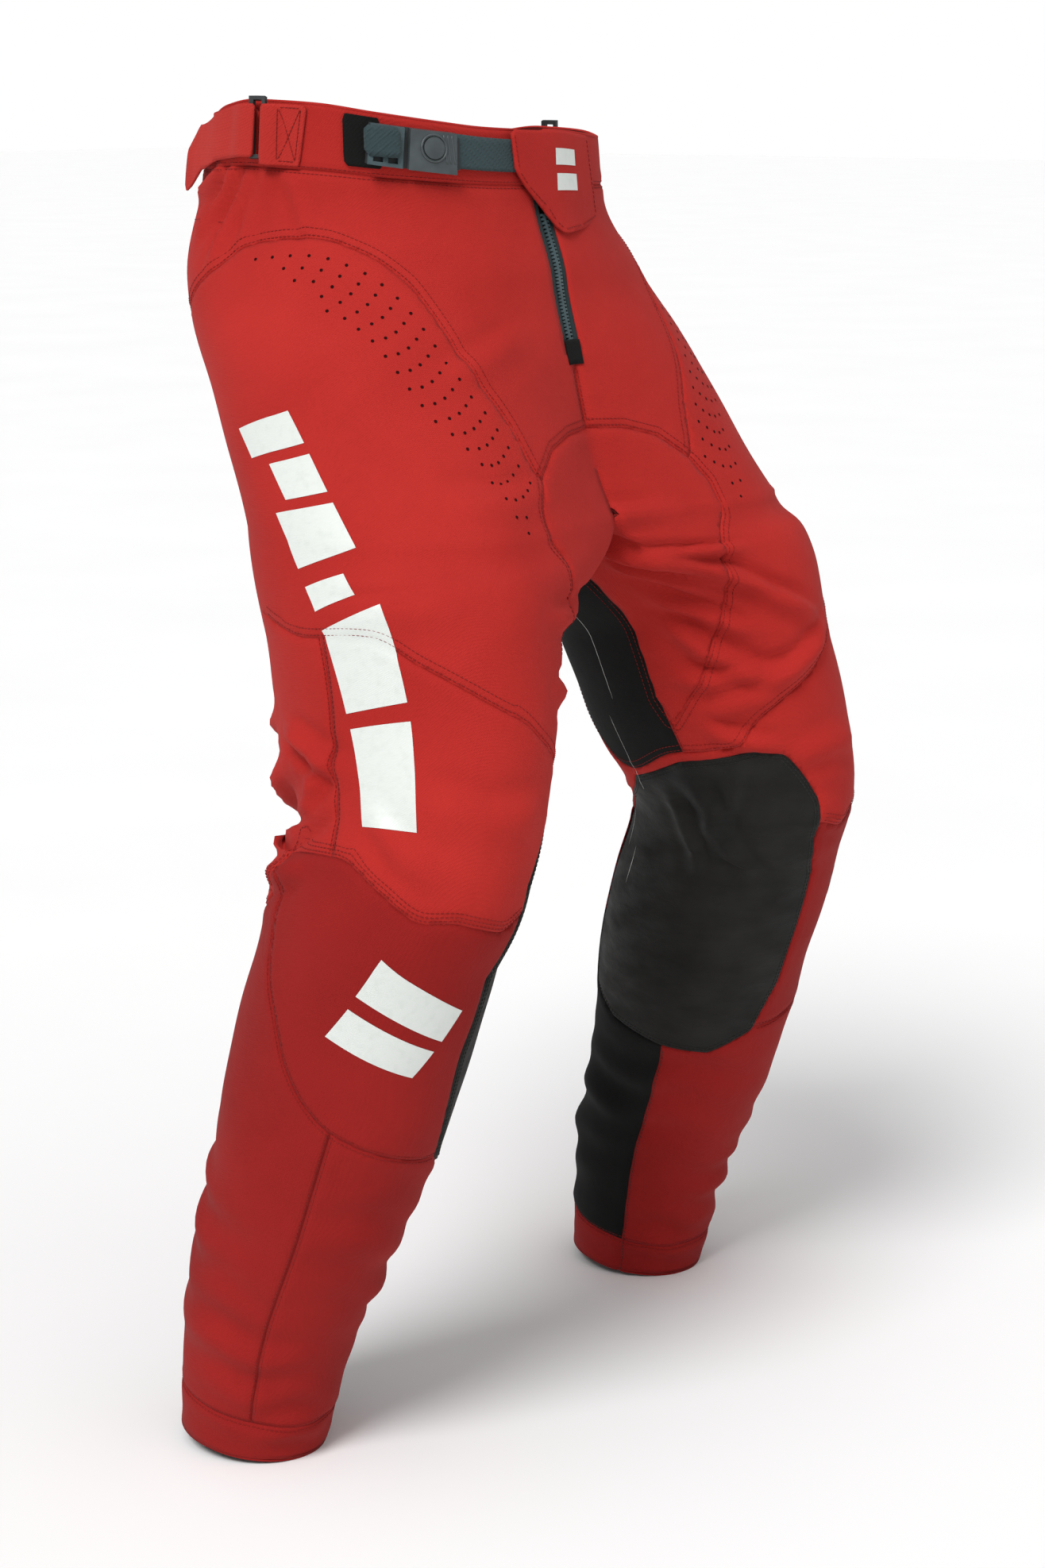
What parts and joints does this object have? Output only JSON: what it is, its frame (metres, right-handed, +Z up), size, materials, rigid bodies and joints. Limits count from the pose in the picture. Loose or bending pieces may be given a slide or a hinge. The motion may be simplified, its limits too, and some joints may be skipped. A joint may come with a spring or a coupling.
{
  "type": "motocross riding trousers",
  "caption": "Full-length off-road motorcycle riding trousers with a buckled waist, fly zip under a flap, side adjusters, bending stretch knees, grip patches and elastic cuffs.",
  "frame": {"origin": "centre of the waist opening", "axes": "+Z up, -Y to the wearer's front, +X to the wearer's left"},
  "size_m": [0.6156, 0.4142, 1.003],
  "materials": {
    "red_shell": "woven, matt",
    "stretch_panel": "ribbed stretch knit",
    "black_fabric": "woven, matt",
    "grip": "suede-like, matt",
    "cuff": "elastic knit",
    "black_plastic": "moulded",
    "webbing": "ribbed webbing",
    "teal_plastic": "moulded",
    "metal": "plated"
  },
  "bodies": {
    "trousers": {"waistband_right": "red_shell", "front_panel_right": "red_shell", "rear_yoke_right": "stretch_panel", "thigh_panel_right": "red_shell", "seat_panel_right": "red_shell", "inner_thigh_panel_right": "black_fabric", "above_knee_panel_right": "stretch_panel", "back_knee_panel_right": "stretch_panel", "waistband_left": "red_shell", "front_panel_left": "red_shell", "rear_yoke_left": "stretch_panel", "thigh_panel_left": "red_shell", "seat_panel_left": "red_shell", "inner_thigh_panel_left": "black_fabric", "above_knee_panel_left": "stretch_panel", "back_knee_panel_left": "stretch_panel", "crotch_gusset": "black_fabric", "zip_tape_right": "black_fabric", "zip_teeth_right": "black_plastic", "zip_tape_left": "black_fabric", "zip_teeth_left": "black_plastic", "zip_end_patch": "black_fabric", "fly_facing": "black_fabric", "flap_welt": "red_shell", "buckle_anchor_tab": "black_fabric", "buckle_base": "black_plastic", "buckle_cover": "black_plastic", "buckle_spring": "metal", "ladder_lock": "teal_plastic", "adjuster_tab_right": "red_shell", "adjuster_strap_right": "red_shell", "adjuster_tab_left": "red_shell", "adjuster_strap_left": "red_shell"},
    "right_lower_leg": {"knee_panel_right": "red_shell", "knee_grip_patch_right": "grip", "shin_panel_right": "red_shell", "calf_panel_right": "red_shell", "inner_calf_panel_right": "black_fabric", "ankle_cuff_right": "cuff"},
    "left_lower_leg": {"knee_panel_left": "red_shell", "knee_grip_patch_left": "grip", "shin_panel_left": "red_shell", "calf_panel_left": "red_shell", "inner_calf_panel_left": "black_fabric", "ankle_cuff_left": "cuff"},
    "front_flap": {"front_flap": "red_shell"},
    "belt": {"belt_webbing": "webbing", "belt_tongue": "black_plastic"},
    "buckle_button": {"buckle_button": "black_plastic"},
    "zip_slider": {"zip_slider": "metal"},
    "zip_pull": {"zip_pull": "metal"},
    "adjuster_ring_right": {"adjuster_ring_right": "black_plastic"},
    "adjuster_ring_left": {"adjuster_ring_left": "black_plastic"},
    "adjuster_tail_right": {"adjuster_tail_right": "red_shell"},
    "adjuster_tail_left": {"adjuster_tail_left": "red_shell"}
  },
  "joints": [
    {"name": "knee_flex_right", "type": "hinge", "parent": "trousers", "child": "right_lower_leg", "pos_m": [-0.21, -0.165, -0.52], "axis": [1, 0, 0], "range_deg": [-20, 40], "deforming": ["above_knee_panel_right", "back_knee_panel_right", "inner_thigh_panel_right"]},
    {"name": "knee_flex_left", "type": "hinge", "parent": "trousers", "child": "left_lower_leg", "pos_m": [0.21, -0.165, -0.52], "axis": [1, 0, 0], "range_deg": [-20, 40], "deforming": ["above_knee_panel_left", "back_knee_panel_left", "inner_thigh_panel_left"]},
    {"name": "front_flap_open", "type": "hinge", "parent": "trousers", "child": "front_flap", "pos_m": [0.07848, -0.12251, -0.00655], "axis": [-0.017, 0.1821, 0.9831], "range_deg": [0, 75]},
    {"name": "belt_release", "type": "hinge", "parent": "trousers", "child": "belt", "pos_m": [0.00103, 0.08968, 0.01715], "axis": [0.0316, -0.1839, 0.9824], "range_deg": [0, 6.5]},
    {"name": "buckle_button_press", "type": "slide", "parent": "trousers", "child": "buckle_button", "axis": [0.418, 0.8904, -0.1804], "range_m": [0, 0.0014], "stiffness_N_per_m": 400, "deforming": ["buckle_spring"]},
    {"name": "zip_slide", "type": "slide", "parent": "trousers", "child": "zip_slider", "axis": [0, -0.2567, -0.9665], "range_m": [0, 0.1], "deforming": ["zip_teeth_right", "zip_teeth_left"]},
    {"name": "zip_pull_swing", "type": "hinge", "parent": "zip_slider", "child": "zip_pull", "pos_m": [0, -0.13203, -0.04849], "axis": [-1, 0, 0], "range_deg": [0, 140], "deforming": ["front_flap"]},
    {"name": "adjuster_ring_right_swing", "type": "hinge", "parent": "trousers", "child": "adjuster_ring_right", "pos_m": [-0.16874, -0.00955, -0.00103], "axis": [0.0436, -0.0228, 0.9988], "range_deg": [0, 25]},
    {"name": "adjuster_tail_right_peel", "type": "hinge", "parent": "trousers", "child": "adjuster_tail_right", "pos_m": [-0.17077, 0.00919, -0.00032], "axis": [0.0431, 0.0242, 0.9988], "range_deg": [0, 60]},
    {"name": "adjuster_ring_left_swing", "type": "hinge", "parent": "trousers", "child": "adjuster_ring_left", "pos_m": [0.16821, -0.00949, -0.02014], "axis": [0.0537, 0.0202, -0.9984], "range_deg": [0, 25]},
    {"name": "adjuster_tail_left_peel", "type": "hinge", "parent": "trousers", "child": "adjuster_tail_left", "pos_m": [0.17027, 0.00914, -0.01948], "axis": [0.0534, -0.0185, -0.9984], "range_deg": [0, 60]}
  ]
}
